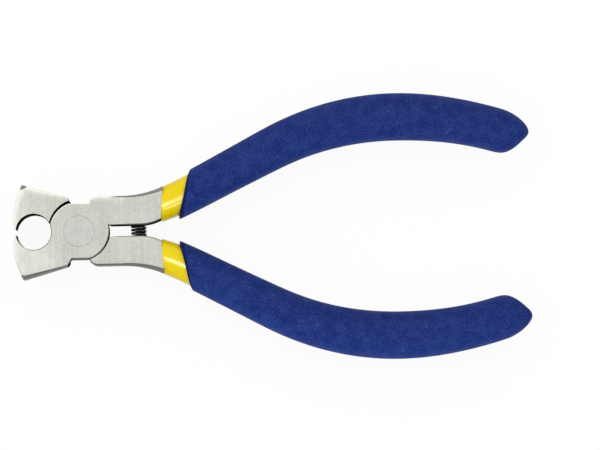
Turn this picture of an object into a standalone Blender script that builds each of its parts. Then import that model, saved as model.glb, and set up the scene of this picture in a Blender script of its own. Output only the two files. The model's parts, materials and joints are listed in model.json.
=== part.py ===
"""Small end cutting nippers with a sprung lap joint and two-layer handles, 115 mm long.

Units are metres. The tool lies flat: jaws towards -X, handles towards +X, the rivet along Z.
A lever is an arm, half of the lap joint and the jaw across from it. One half of the tool, a lever
with its sleeve and grip, is drawn with its pivot at the origin and its handle towards +Y. The other
half is the same three shapes turned over about the X axis.
"""

import math

import bmesh
import bpy
import numpy as np
from mathutils import Matrix, Vector

# Clearances
FIT_GAP = 0.00025  # between pieces that sit on or in each other
LAP_GAP = 0.0003  # between the flat faces of the two discs
DISC_GAP = 0.0004  # round the edge of each disc

# Joint
HEAD_THICKNESS = 0.008
JOINT_RADIUS = 0.00655
WAIST_CUT = 0.0004  # depth of the flats across the disc's two sides

# Jaws
THROAT_RADIUS = 0.00395  # the round hole behind the cutting edges
THROAT_BITE = 0.0004  # how far that hole cuts into the disc
EDGE_OPENING = 0.0012  # between the two cutting edges at rest
EDGE_BEVEL_LENGTH = 0.00062
EDGE_BEVEL_WIDTH = 0.0013
JAW_HALF_WIDTH = 0.0105
JAW_CORNER_SETBACK = 0.0015  # how far the jaw's outer corner lies behind its cutting edge
JAW_FRONT_RADIUS = 0.016
JAW_BACK_X = 0.0027
JAW_ROOT_X = 0.00175

# Arm and tang
ARM_GAP = 0.0025
ARM_WIDTH = 0.0064
ARM_FLARE = 0.00045  # how much wider the arm is at its end, on each side
SPRING_TO_ARM_END = 0.00525  # along the handle's path, from the spring's axis
ARM_END_SLANT = math.radians(19.4)
TANG_SIDE_STEP = 0.0004  # the tang is this much narrower than the arm on each side
TANG_FACE_STEP = 0.00085  # and this much thinner on each face
TANG_ROOT = 0.0045  # how deep the tang starts inside the arm
TANG_SETBACK = 0.003  # the tang stops this far short of the handle path's end

# Path of the handle: straight, bent out, straight, back over the crown, in along the tail
ARM_STRAIGHT = 0.00295
BEND_RADIUS = 0.032
BEND_ANGLE = math.radians(27.0)
HANDLE_STRAIGHT = 0.0211
CROWN_RADIUS = 0.0606
TAIL_RADIUS = 0.077
TAIL_LENGTH = 0.02284

# Inner sleeve and outer grip
SECTION_POWER = 2.5  # 2 is an ellipse, more is squarer
SLEEVE_WALL = 0.00075
SLEEVE_SHOWN = 0.0053  # length of the sleeve that the grip leaves bare
GRIP_SLANT = math.radians(38.0)
SLANT_FADE = 0.010  # length over which a slanted rim gives way to square sections
GRIP_FACE_WALL = 0.0008
GRIP_RIM_WALL = 0.00045
GRIP_CROWN_WALL = 0.00128
GRIP_TAIL_WALL = 0.00085

# Closed end of the grip
NOSE_LENGTH = 0.00575
NOSE_CAP_HALF_WIDTH = 0.0026
NOSE_CAP_HALF_HEIGHT = 0.0028
NOSE_LEAN = math.radians(29.0)
NOSE_DROP = 0.00105
NOSE_ROUNDNESS = 0.65

# Broken and ground edges of the lever
EDGE_BREAK = 0.0001
WAIST_CHAMFER = 0.0002
INNER_CHAMFER = 0.00025
OUTER_CHAMFER = 0.00035
OUTER_END_CHAMFER = 0.001
JAW_CHAMFER = 0.0008
CHAMFER_STEEPNESS = 0.8  # depth of a chamfer over its width

# Rivet
RIVET_RADIUS = 0.0025
RIVET_HEAD_RADIUS = 0.0034
RIVET_HEAD_DEPTH = 0.001

# Return spring
SPRING_FROM_JOINT = 0.00675  # from the disc's edge to the spring's axis
SPRING_DIAMETER = 0.0034
WIRE_DIAMETER = 0.00045
SPRING_PITCH = 0.0009
SPRING_POCKET_DEPTH = 0.0022
SPRING_SIDE_GAP = 0.0003

# Finishes: colour, roughness and metallic value
STEEL_FINISH = ((0.61, 0.62, 0.57), 0.32, 1.0)
RIVET_FINISH = ((0.58, 0.59, 0.55), 0.35, 1.0)
SPRING_FINISH = ((0.012, 0.012, 0.012), 0.4, 0.8)
SLEEVE_FINISH = ((0.85, 0.67, 0.005), 0.25, 0.0)
GRIP_FINISH = ((0.018, 0.037, 0.205), 0.6, 0.0)

# Fineness of the mesh
ARC_STEP = math.radians(6.0)
SHOULDER_STEPS = 4
BEND_STEPS = 6
STRAIGHT_STEPS = 4
CROWN_STEPS = 6
TAIL_STEPS = 5
NOSE_STEPS = 5
SECTION_SIDES = 16
POINTS_PER_CURL = 10
GAP_SAMPLES = 8  # points measured on each straight piece of the spring's wire
CUT_OVERSHOOT = 0.001
LEAST_TURN = 0.2  # sine of the angle below which two edges count as one line
MERGE_DISTANCE = 0.000001
SHARP_ANGLE = math.radians(30.0)

HALF_THICKNESS = HEAD_THICKNESS / 2
POCKET_RADIUS = JOINT_RADIUS + DISC_GAP
WAIST_Y = JOINT_RADIUS - WAIST_CUT
WAIST_X = math.sqrt(JOINT_RADIUS**2 - WAIST_Y**2)
ARM_INNER_Y = ARM_GAP / 2
ARM_OUTER_Y = ARM_INNER_Y + ARM_WIDTH
ARM_AXIS_Y = ARM_INNER_Y + ARM_WIDTH / 2
ARM_START_X = math.sqrt(JOINT_RADIUS**2 - ARM_INNER_Y**2)
SHOULDER_RADIUS = ARM_OUTER_Y - WAIST_Y
SHOULDER_END_X = WAIST_X + abs(SHOULDER_RADIUS)

THROAT_X = -(JOINT_RADIUS - THROAT_BITE + THROAT_RADIUS)
EDGE_Y = EDGE_OPENING / 2
EDGE_X = THROAT_X - math.sqrt(THROAT_RADIUS**2 - EDGE_Y**2)

TANG_HALF_WIDTH = ARM_WIDTH / 2 - TANG_SIDE_STEP
TANG_HALF_HEIGHT = HALF_THICKNESS - TANG_FACE_STEP
SLEEVE_HALF_WIDTH = TANG_HALF_WIDTH + FIT_GAP + SLEEVE_WALL
SLEEVE_HALF_HEIGHT = TANG_HALF_HEIGHT + FIT_GAP + SLEEVE_WALL
BORE_HALF_WIDTH = SLEEVE_HALF_WIDTH + FIT_GAP
BORE_HALF_HEIGHT = SLEEVE_HALF_HEIGHT + FIT_GAP
GRIP_HALF_HEIGHT = BORE_HALF_HEIGHT + GRIP_FACE_WALL

SPRING_X = JOINT_RADIUS + SPRING_FROM_JOINT
SPRING_POCKET_Y = ARM_INNER_Y + SPRING_POCKET_DEPTH
SPRING_POCKET_RADIUS = SPRING_DIAMETER / 2 + SPRING_SIDE_GAP
SPRING_COIL_RADIUS = (SPRING_DIAMETER - WIRE_DIAMETER) / 2

BEND_START = JOINT_RADIUS + ARM_STRAIGHT
PATH_RUNS = (  # length, curvature and mesh steps of each stretch
    (BEND_START, 0.0, 1),
    (BEND_RADIUS * BEND_ANGLE, 1 / BEND_RADIUS, BEND_STEPS),
    (HANDLE_STRAIGHT, 0.0, STRAIGHT_STEPS),
    (CROWN_RADIUS * BEND_ANGLE, -1 / CROWN_RADIUS, CROWN_STEPS),
    (TAIL_LENGTH, -1 / TAIL_RADIUS, TAIL_STEPS),
)
PATH_LENGTH = sum(length for length, _, _ in PATH_RUNS)
CROWN_TOP = PATH_LENGTH - TAIL_LENGTH
ARM_LENGTH = SPRING_X + SPRING_TO_ARM_END
TANG_END = PATH_LENGTH - TANG_SETBACK
SLEEVE_FRONT = ARM_LENGTH + FIT_GAP
SLEEVE_BORE_END = TANG_END + FIT_GAP
SLEEVE_END = SLEEVE_BORE_END + SLEEVE_WALL
GRIP_FRONT = SLEEVE_FRONT + SLEEVE_SHOWN
GRIP_BORE_END = SLEEVE_END + FIT_GAP


# Plane curves

def arc(centre, radius, start, end):
    """Points of a circular arc from one angle to another, both ends included."""
    steps = max(1, math.ceil(abs(end - start) / ARC_STEP))
    angles = [start + (end - start) * i / steps for i in range(steps + 1)]
    return [Vector((centre[0] + radius * math.cos(a), centre[1] + radius * math.sin(a))) for a in angles]


def bulged(first, last, radius):
    """Points of an arc from first to last that bulges to the right of the way between them."""
    chord = last - first
    left = Vector((-chord.y, chord.x)).normalized()
    centre = (first + last) / 2 + left * math.sqrt(radius**2 - chord.length_squared / 4)
    start = math.atan2(first.y - centre.y, first.x - centre.x)
    return arc(centre, radius, start, start + 2 * math.asin(chord.length / (2 * radius)))


def path_at(distance):
    """Point and heading of the handle's path at a distance from the pivot."""
    point, heading = Vector((0.0, ARM_AXIS_Y)), 0.0
    runs = [run[:2] for run in PATH_RUNS] + [(math.inf, 0.0)]
    for length, curvature in runs:
        step = min(length, distance)
        turn = curvature * step
        chord = step if turn == 0 else 2 * math.sin(turn / 2) / curvature
        point = point + chord * Vector((math.cos(heading + turn / 2), math.sin(heading + turn / 2)))
        heading += turn
        distance -= step
        if distance <= 0:
            break
    return point, heading


def beside_path(distance, side):
    """Point of the plane beside the path; the side is positive away from the other handle."""
    point, heading = path_at(distance)
    return point + side * Vector((-math.sin(heading), math.cos(heading)))


def stations(start, end):
    """Distances along the path from start to end, at the same places for every piece on it."""
    grid, run_start = [], 0.0
    for length, _, steps in PATH_RUNS:
        grid += [run_start + length * i / steps for i in range(steps)]
        run_start += length
    return [start] + [s for s in grid if start + FIT_GAP < s < end - FIT_GAP] + [end]


def blend(first, last, share):
    """A smooth change from the first value to the last as the share goes from 0 to 1."""
    share = min(1.0, max(0.0, share))
    return first + (last - first) * share * share * (3 - 2 * share)


# Solids

def extruded_through(rings):
    """A closed body: the first ring's face extruded through the other rings in turn."""
    bm = bmesh.new()
    first = bm.faces.new([bm.verts.new(point) for point in rings[0]])
    face = first
    for ring in rings[1:]:
        made = bmesh.ops.extrude_face_region(bm, geom=[face])["geom"]
        if face is not first:
            bm.faces.remove(face)
        face = next(item for item in made if isinstance(item, bmesh.types.BMFace))
        for vert, point in zip(face.verts, ring):
            vert.co = point
    return finished_mesh(bm)


def turned(profile):
    """A body spun about Z from a profile of radii and heights that starts and ends on the axis."""
    bm = bmesh.new()
    verts = [bm.verts.new((radius, 0, height)) for radius, height in profile]
    edges = [bm.edges.new(pair) for pair in zip(verts, verts[1:])]
    steps = round(2 * math.pi / ARC_STEP)
    bmesh.ops.spin(bm, geom=verts + edges, axis=(0, 0, 1), cent=(0, 0, 0), angle=2 * math.pi,
                   steps=steps, use_merge=True)
    return finished_mesh(bm)


def finished_mesh(bm):
    bmesh.ops.remove_doubles(bm, verts=bm.verts, dist=MERGE_DISTANCE)
    bmesh.ops.recalc_face_normals(bm, faces=bm.faces)
    mesh = bpy.data.meshes.new("shape")
    bm.to_mesh(mesh)
    bm.free()
    return mesh


def combined(mesh, steps):
    """The mesh after a row of Boolean steps, each an operation and the mesh it uses."""
    body = bpy.data.objects.new("body", mesh)
    bpy.context.collection.objects.link(body)
    helpers = [body]
    for operation, other in steps:
        helper = bpy.data.objects.new("helper", other)
        bpy.context.collection.objects.link(helper)
        helpers.append(helper)
        modifier = body.modifiers.new(operation, "BOOLEAN")
        modifier.operation = operation
        modifier.object = helper
    graph = bpy.context.evaluated_depsgraph_get()
    result = bpy.data.meshes.new_from_object(body.evaluated_get(graph))
    for helper in helpers:
        bpy.data.objects.remove(helper)
    return result


# Lever

def arm_half_width(distance):
    share = (distance - BEND_START) / (ARM_LENGTH - BEND_START)
    return ARM_WIDTH / 2 + ARM_FLARE * min(1.0, max(0.0, share))


def arm_edge(start, side):
    """Points along one edge of the arm, from a distance along its path to its slanted end."""
    end = ARM_LENGTH + side * arm_half_width(ARM_LENGTH) * math.tan(ARM_END_SLANT)
    return [beside_path(s, side * arm_half_width(s)) for s in stations(start, end)]


def shoulder():
    """The hollow quarter round that leads from the arm's outer edge down to the waist."""
    angles = [math.pi / 2 * (1 - i / SHOULDER_STEPS) for i in range(SHOULDER_STEPS + 1)]
    width = SHOULDER_END_X - WAIST_X
    return [
        Vector((WAIST_X + width * math.sin(a), ARM_OUTER_Y - SHOULDER_RADIUS * math.cos(a)))
        for a in angles
    ]


def jaw():
    """The jaw's outside, from the bevel behind its cutting edge round to its root at the waist."""
    bevel_end = Vector((EDGE_X - EDGE_BEVEL_LENGTH, -EDGE_Y - EDGE_BEVEL_WIDTH))
    corner = Vector((EDGE_X + JAW_CORNER_SETBACK, -JAW_HALF_WIDTH))
    back = [Vector((-JAW_BACK_X, -ARM_OUTER_Y)), Vector((-JAW_ROOT_X, -WAIST_Y))]
    return bulged(bevel_end, corner, JAW_FRONT_RADIUS), back


def lever_outline():
    """Stretches of the lever's outline, counter-clockwise, with each one's chamfer from start to end."""
    meet_x = (THROAT_X**2 + JOINT_RADIUS**2 - THROAT_RADIUS**2) / (2 * THROAT_X)
    meet_y = math.sqrt(JOINT_RADIUS**2 - meet_x**2)
    meet_angle = math.atan2(meet_y, meet_x)
    waist_angle = math.atan2(WAIST_Y, WAIST_X)
    arm_angle = math.atan2(ARM_INNER_Y, ARM_START_X)
    throat_start = math.atan2(meet_y, meet_x - THROAT_X)
    throat_end = math.atan2(-EDGE_Y, EDGE_X - THROAT_X)
    jaw_front, jaw_back = jaw()
    return (
        ([Vector((WAIST_X, WAIST_Y))], WAIST_CHAMFER, WAIST_CHAMFER),
        (arc((0, 0), JOINT_RADIUS, math.pi - waist_angle, meet_angle), EDGE_BREAK, EDGE_BREAK),
        (arc((THROAT_X, 0), THROAT_RADIUS, throat_start, throat_end), EDGE_BREAK, EDGE_BREAK),
        (jaw_front, JAW_CHAMFER, JAW_CHAMFER),
        (jaw_back, WAIST_CHAMFER, WAIST_CHAMFER),
        (arc((0, 0), JOINT_RADIUS, -waist_angle, arm_angle), EDGE_BREAK, EDGE_BREAK),
        (arm_edge(ARM_START_X, -1), INNER_CHAMFER, INNER_CHAMFER),
        (arm_edge(SHOULDER_END_X, 1)[::-1], OUTER_END_CHAMFER, OUTER_CHAMFER),
        (shoulder(), WAIST_CHAMFER, WAIST_CHAMFER),
    )


def joined(stretches):
    """The stretches as one closed outline: its points, and the chamfer of the edge after each."""
    points, chamfers = [], []
    for stretch, first, last in stretches:
        if points and (stretch[0] - points[-1]).length < MERGE_DISTANCE:
            points.pop()
            chamfers.pop()
        points += stretch
        chamfers += np.linspace(first, last, len(stretch)).tolist()
    if (points[0] - points[-1]).length < MERGE_DISTANCE:
        points.pop()
        chamfers.pop()
    return points, chamfers


def chamfered(points, chamfers):
    """Each point moved in by its two edges' chamfers, and how deep the chamfer goes there."""
    insets, depths = [], []
    for i, point in enumerate(points):
        before = (point - points[i - 1]).normalized()
        after = (points[(i + 1) % len(points)] - point).normalized()
        widths = Vector((chamfers[i - 1], chamfers[i]))
        normals = Matrix(((-before.y, before.x), (-after.y, after.x)))
        if abs(before.cross(after)) < LEAST_TURN:
            shift = (normals[0] + normals[1]).normalized() * (widths[0] + widths[1]) / 2
        else:
            shift = normals.inverted() @ widths
        insets.append(point + shift)
        depths.append(CHAMFER_STEEPNESS * max(widths))
    return insets, depths


def lever_mesh():
    points, chamfers = joined(lever_outline())
    insets, depths = chamfered(points, chamfers)
    flat = [(p.x, p.y, HALF_THICKNESS) for p in insets]
    wall = [(p.x, p.y, HALF_THICKNESS - depth) for p, depth in zip(points, depths)]
    underside = [[(x, y, -z) for x, y, z in ring] for ring in (flat, wall)]
    tang = [section(s, TANG_HALF_WIDTH, TANG_HALF_HEIGHT) for s in stations(ARM_LENGTH - TANG_ROOT, TANG_END)]
    return combined(extruded_through(underside + [wall, flat]), [
        ("UNION", extruded_through(tang)),
        ("DIFFERENCE", lap_cutter()),
        ("DIFFERENCE", turned(rivet_profile(FIT_GAP, CUT_OVERSHOOT))),
        ("DIFFERENCE", spring_pocket_cutter()),
    ])


def lap_cutter():
    """Room for the other lever's disc, under this lever's own disc."""
    bottom, top = -HALF_THICKNESS - CUT_OVERSHOOT, LAP_GAP / 2
    return turned([(0, top), (POCKET_RADIUS, top), (POCKET_RADIUS, bottom), (0, bottom)])


def spring_pocket_cutter():
    """A round blind hole in the arm's inner face."""
    mesh = turned([
        (0, SPRING_POCKET_Y),
        (SPRING_POCKET_RADIUS, SPRING_POCKET_Y),
        (SPRING_POCKET_RADIUS, 0),
        (0, 0),
    ])
    mesh.transform(Matrix.Translation((SPRING_X, 0, 0)) @ Matrix.Rotation(-math.pi / 2, 4, "X"))
    return mesh


# Rivet

def rivet_profile(grow, overshoot):
    """Half section of the rivet, or of its hole when grown and run past both faces."""
    end = HALF_THICKNESS + overshoot
    head = HALF_THICKNESS - RIVET_HEAD_DEPTH
    outer = [(RIVET_HEAD_RADIUS + grow, HALF_THICKNESS), (RIVET_RADIUS + grow, head)]
    if overshoot:
        outer.insert(0, (RIVET_HEAD_RADIUS + grow, end))
    lower = [(radius, -height) for radius, height in reversed(outer)]
    return [(0, end)] + outer + lower + [(0, -end)]


# Spring

def spring_points():
    """The wire's middle line: a straight end, the curls, and a straight end, along Y."""
    seat = SPRING_POCKET_Y - FIT_GAP
    first, last = -seat + WIRE_DIAMETER, seat - WIRE_DIAMETER
    turns = (last - first) / SPRING_PITCH
    steps = round(turns * POINTS_PER_CURL)
    curls = [
        (SPRING_COIL_RADIUS * math.cos(2 * math.pi * turns * i / steps),
         first + (last - first) * i / steps,
         SPRING_COIL_RADIUS * math.sin(2 * math.pi * turns * i / steps))
        for i in range(steps + 1)
    ]
    start = (curls[0][0], -seat, curls[0][2])
    end = (curls[-1][0], seat, curls[-1][2])
    return [start] + curls + [end]


def least_spring_gap(points):
    """Least clear distance between wires of neighbouring curls, on points along the wire."""
    ends = np.array(points)
    shares = np.arange(GAP_SAMPLES)[:, None] / GAP_SAMPLES
    line = np.concatenate([a + (b - a) * shares for a, b in zip(ends, ends[1:])])
    apart = np.linalg.norm(line[:, None] - line[None], axis=2)
    index = np.arange(len(line))
    half_curl = POINTS_PER_CURL * GAP_SAMPLES / 2
    return apart[np.abs(index[:, None] - index[None]) > half_curl].min() - WIRE_DIAMETER


def spring_curve():
    points = spring_points()
    print(f"spring: least gap to itself {least_spring_gap(points) * 1000:.3f} mm")
    curve = bpy.data.curves.new("return_spring", "CURVE")
    curve.dimensions = "3D"
    curve.bevel_depth = WIRE_DIAMETER / 2
    curve.bevel_resolution = 1
    curve.use_fill_caps = True
    spline = curve.splines.new("POLY")
    spline.points.add(len(points) - 1)
    for target, point in zip(spline.points, points):
        target.co = (SPRING_X + point[0], point[1], point[2], 1)
    return curve


# Handle layers

def section(distance, half_width, half_height, slant=0.0, drop=0.0):
    """A ring across the path with squared-off sides; a slanted one leans its outer side to the tail."""
    ring = []
    for i in range(SECTION_SIDES):
        angle = 2 * math.pi * i / SECTION_SIDES
        across, up = (
            math.copysign(abs(value) ** (2 / SECTION_POWER), value)
            for value in (math.cos(angle), math.sin(angle))
        )
        side = half_width * across
        point = beside_path(distance + side * math.tan(slant), side - drop)
        ring.append((point.x, point.y, half_height * up))
    return ring


def faded(slant, distance):
    """What is left of a rim's slant at a distance behind it."""
    return slant * max(0.0, 1 - distance / SLANT_FADE)


def sleeve_mesh():
    """A tube closed at the tail, extruded from the end of its bore to its rim and back outside."""
    bore = [
        section(s, TANG_HALF_WIDTH + FIT_GAP, TANG_HALF_HEIGHT + FIT_GAP,
                faded(ARM_END_SLANT, s - SLEEVE_FRONT))
        for s in stations(SLEEVE_FRONT, SLEEVE_BORE_END)
    ]
    outside = [
        section(s, SLEEVE_HALF_WIDTH, SLEEVE_HALF_HEIGHT, faded(ARM_END_SLANT, s - SLEEVE_FRONT))
        for s in stations(SLEEVE_FRONT, SLEEVE_END)
    ]
    return extruded_through(bore[::-1] + outside)


def grip_half_width(s):
    if s < CROWN_TOP:
        wall = blend(GRIP_RIM_WALL, GRIP_CROWN_WALL, (s - GRIP_FRONT) / (CROWN_TOP - GRIP_FRONT))
    else:
        wall = blend(GRIP_CROWN_WALL, GRIP_TAIL_WALL, (s - CROWN_TOP) / TAIL_LENGTH)
    return BORE_HALF_WIDTH + wall


def nose_ring(share):
    """A ring of the closed end, which rounds in, leans and drops towards a small flat."""
    rounding = (1 - share**2) ** NOSE_ROUNDNESS
    half_width = NOSE_CAP_HALF_WIDTH + (grip_half_width(PATH_LENGTH) - NOSE_CAP_HALF_WIDTH) * rounding
    half_height = NOSE_CAP_HALF_HEIGHT + (GRIP_HALF_HEIGHT - NOSE_CAP_HALF_HEIGHT) * rounding
    return section(PATH_LENGTH + NOSE_LENGTH * share, half_width, half_height,
                   NOSE_LEAN * share**2, NOSE_DROP * share**2)


def grip_mesh():
    bore = [
        section(s, BORE_HALF_WIDTH, BORE_HALF_HEIGHT, faded(GRIP_SLANT, s - GRIP_FRONT))
        for s in stations(GRIP_FRONT, GRIP_BORE_END)
    ]
    outside = [
        section(s, grip_half_width(s), GRIP_HALF_HEIGHT, faded(GRIP_SLANT, s - GRIP_FRONT))
        for s in stations(GRIP_FRONT, PATH_LENGTH)
    ]
    nose = [nose_ring(math.sin(math.pi / 2 * i / NOSE_STEPS)) for i in range(1, NOSE_STEPS + 1)]
    return extruded_through(bore[::-1] + outside + nose)


# Assembly

def material(name, finish):
    colour, roughness, metallic = finish
    result = bpy.data.materials.new(name)
    result.use_nodes = True
    shader = result.node_tree.nodes["Principled BSDF"]
    shader.inputs["Base Color"].default_value = (*colour, 1)
    shader.inputs["Roughness"].default_value = roughness
    shader.inputs["Metallic"].default_value = metallic
    return result


def place(name, data, parent):
    """A new object at its parent's origin; with no data it is an empty."""
    result = bpy.data.objects.new(name, data)
    bpy.context.collection.objects.link(result)
    result.parent = parent
    return result


def smoothed(mesh, finish):
    mesh.materials.clear()
    mesh.materials.append(finish)
    mesh.shade_smooth()
    mesh.set_sharp_from_angle(angle=SHARP_ANGLE)
    return mesh


def build():
    for old in list(bpy.data.objects):
        bpy.data.objects.remove(old)
    halves = {
        "lever": smoothed(lever_mesh(), material("ground steel", STEEL_FINISH)),
        "inner_sleeve": smoothed(sleeve_mesh(), material("yellow plastic", SLEEVE_FINISH)),
        "outer_grip": smoothed(grip_mesh(), material("blue foamed plastic", GRIP_FINISH)),
    }
    rivet = smoothed(turned(rivet_profile(0.0, 0.0)), material("rivet steel", RIVET_FINISH))
    spring = spring_curve()
    spring.materials.append(material("black spring steel", SPRING_FINISH))

    # The tool lies on its grips, centred on the origin, with every piece turning about the pivot's empties.
    xs = [vert.co.x for mesh in halves.values() for vert in mesh.vertices]
    tool = place("tool", None, None)
    tool.location = (-(min(xs) + max(xs)) / 2, 0, GRIP_HALF_HEIGHT)
    for side, turn in (("upper", 0.0), ("lower", math.pi)):
        half = place(f"{side}_half", None, tool)
        half.rotation_euler.x = turn
        for name, mesh in halves.items():
            place(f"{side}_{name}", mesh, half)
    place("pivot_rivet", rivet, tool)
    place("return_spring", spring, tool)
    print(f"pivot at x {tool.location.x:.6f} z {tool.location.z:.6f}")


build()
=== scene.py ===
"""Looks of the small end cutting nippers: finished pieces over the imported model, on a white table.

Units are metres. The tool lies flat: jaws towards -X, handles towards +X, the rivet along Z. Each half is
drawn with the pivot at the origin and its handle towards +Y, and is then set down at the joint.
"""

import json
import math

import bmesh
import bpy
from mathutils import Matrix, Vector


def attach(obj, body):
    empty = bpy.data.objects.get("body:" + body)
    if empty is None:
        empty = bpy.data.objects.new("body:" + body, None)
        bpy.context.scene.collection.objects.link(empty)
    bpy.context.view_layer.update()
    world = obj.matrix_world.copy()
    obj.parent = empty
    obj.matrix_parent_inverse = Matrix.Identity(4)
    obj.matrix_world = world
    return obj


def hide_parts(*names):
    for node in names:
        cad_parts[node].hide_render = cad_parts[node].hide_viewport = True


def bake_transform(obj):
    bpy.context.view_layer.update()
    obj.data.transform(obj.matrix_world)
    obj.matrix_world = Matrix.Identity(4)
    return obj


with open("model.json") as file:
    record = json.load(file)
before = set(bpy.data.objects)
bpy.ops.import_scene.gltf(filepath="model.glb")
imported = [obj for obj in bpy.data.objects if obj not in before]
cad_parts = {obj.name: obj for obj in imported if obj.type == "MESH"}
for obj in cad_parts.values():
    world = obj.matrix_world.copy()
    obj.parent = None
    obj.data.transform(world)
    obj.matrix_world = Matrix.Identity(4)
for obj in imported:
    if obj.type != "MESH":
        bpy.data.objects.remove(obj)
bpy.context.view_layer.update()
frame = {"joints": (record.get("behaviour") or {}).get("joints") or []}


# Levers
# Two like forgings of tool steel: an arm, half of the lap joint, the jaw across from it and a tang behind.
# The flats, the jaws and the joint are ground bright, and the jaws, the lower one most, are drawn lighter
# still as painted light. The sides, the arms' outer edges and the jaws' corners keep their forged skin. The
# tool's lower broken edges are drawn dark like that skin as painted shade, and the throat, the inner walls
# and the faces between the discs are near black with dark oil and painted shade.

PIVOT = Vector(frame["joints"][0]["pos_m"])
HALVES = {"upper": 0.0, "lower": math.pi}  # how far each half is turned over about the tool's length

HALF_THICKNESS = 0.004
JOINT_RADIUS = 0.00655
POCKET_RADIUS = 0.00693
POCKET_SHIFT = (0.00008, -0.0003)  # off the pivot, so that its gap is wider on the jaw's side
LAP_HEIGHT = 0.00015  # of the disc's underside over the middle plane
WAIST_X = 0.002255
WAIST_Y = 0.00615
THROAT_X = -0.0101
THROAT_RADIUS = 0.00395
THROAT_MEETS_DISC = (-0.006402, 0.001387)
CUTTING_EDGE = (-0.014004, -0.0006)
EDGE_BEVEL_END = (-0.01462, -0.0019)
JAW_CORNER = (-0.0125, -0.0105)
JAW_FRONT_RADIUS = 0.016
JAW_BACK = (-0.0027, -0.00765)
JAW_ROOT = (-0.00175, -WAIST_Y)
ARM_INNER_Y = 0.00125
ARM_OUTER_Y = 0.00765
ARM_AXIS_Y = (ARM_INNER_Y + ARM_OUTER_Y) / 2
ARM_START_X = math.sqrt(JOINT_RADIUS**2 - ARM_INNER_Y**2)
OUTER_BEND_START = 0.0095
INNER_BEND_START = 0.0135
ARM_END_INNER = (0.01815, 0.00238)
ARM_END_OUTER = (0.0186, 0.009615)
ARM_INNER_RADIUS = 0.00996
ARM_OUTER_RADIUS = 0.0221
SHOULDER_RADIUS = 0.0022
SHOULDER_SIDE = (0.00235, 0.0068)
SHOULDER_TOP_X = 0.0041
SPRING_X = 0.0131
SPRING_POCKET_Y = 0.00345
SPRING_POCKET_RADIUS = 0.002
RIVET_RADIUS = 0.0025
RIVET_HEAD_RADIUS = 0.0034
RIVET_HEAD_DEPTH = 0.001
RIVET_SEAM = 0.00004

# Widths to which the edges are broken
WIDEST_BREAK = 0.00105
RIM_BREAK = 0.00016
WAIST_BREAK = 0.0002
ROOT_BREAK = 0.0003
INNER_BREAK = 0.00025
OUTER_BREAK = 0.0004
JAW_BREAK = 0.0009
NO_BREAK = 0.0
BREAK_SLOPE = 1.5  # how much wider than deep the edges are broken
BREAK_LIP = (0.14, 0.06)  # run and fall of the soft lips beside a broken edge, as shares of its width

ARC_STEP = math.radians(2.0)
TAPER_STEPS = 10
TURN_STEPS = 96
CUT_OVERSHOOT = 0.001
MERGE_DISTANCE = 0.000001
SMOOTH_ANGLE = math.radians(32.0)

# The handle's path: straight, bent out, straight, back over the crown, in along the tail
STRAIGHT_LENGTH = 0.0092
BEND_ANGLE = math.radians(27.0)
BEND_RADIUS = 0.032
SHANK_LENGTH = 0.02144
CROWN_RADIUS = 0.0606
TAIL_LENGTH = 0.02284
TAIL_RADIUS = 0.077
PATH_RUNS = (  # length and curvature
    (STRAIGHT_LENGTH, 0.0),
    (BEND_RADIUS * BEND_ANGLE, 1 / BEND_RADIUS),
    (SHANK_LENGTH, 0.0),
    (CROWN_RADIUS * BEND_ANGLE, -1 / CROWN_RADIUS),
    (TAIL_LENGTH, -1 / TAIL_RADIUS),
    (math.inf, 0.0),
)
PATH_LENGTH = sum(length for length, _ in PATH_RUNS[:-1])
TANG_START = 0.014
TANG_SHORT = 0.003  # of the end of the path
TANG_END = PATH_LENGTH - TANG_SHORT
TANG_HALF_WIDTH = 0.0028
TANG_HALF_HEIGHT = 0.00315
RING_SIDES = 24
RING_STEP = 0.0035
TANG_SQUARENESS = 2.5  # 2 is an ellipse, more is squarer


def arc_centre(start, end, radius):
    """Centre of an arc of under half a circle; it lies to the left for a positive radius."""
    chord = end - start
    rise = math.sqrt(radius**2 - chord.length_squared / 4)
    return start + chord / 2 + chord.orthogonal().normalized() * math.copysign(rise, radius)


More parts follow.
